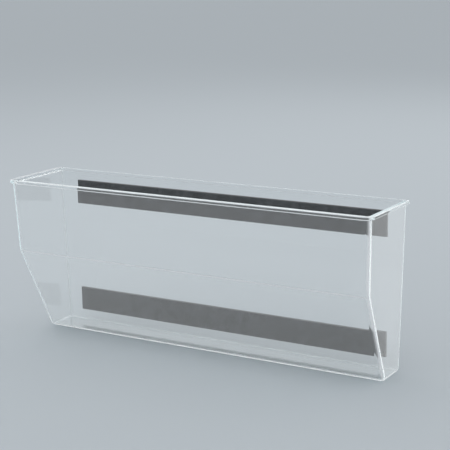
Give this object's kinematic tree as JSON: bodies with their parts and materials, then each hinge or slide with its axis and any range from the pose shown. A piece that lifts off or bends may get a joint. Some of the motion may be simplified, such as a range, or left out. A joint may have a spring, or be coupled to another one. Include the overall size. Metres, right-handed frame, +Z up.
{
  "type": "magnetic wall file pocket",
  "caption": "Clear moulded legal-size wall file pocket with a rim bead, a creased front that slopes in to a narrow base, and magnet strips on its back that hold it to a steel panel.",
  "frame": {"origin": "middle of the upper magnet strip's outer face, which lies on the steel panel", "axes": "+X to the right seen from the front, +Y out of the back and into the panel, +Z up"},
  "size_m": [0.406, 0.0885, 0.166],
  "materials": {
    "clear_polystyrene": "clear moulded polystyrene, glossy",
    "flexible_magnet": "extruded ferrite-filled rubber, satin",
    "adhesive_tape": "dark double-sided acrylic foam tape"
  },
  "bodies": {
    "root": {"pocket_shell": "clear_polystyrene", "upper_magnet_strip": "flexible_magnet", "lower_magnet_strip": "flexible_magnet", "upper_adhesive_tape": "adhesive_tape", "lower_adhesive_tape": "adhesive_tape"}
  },
  "joints": []
}
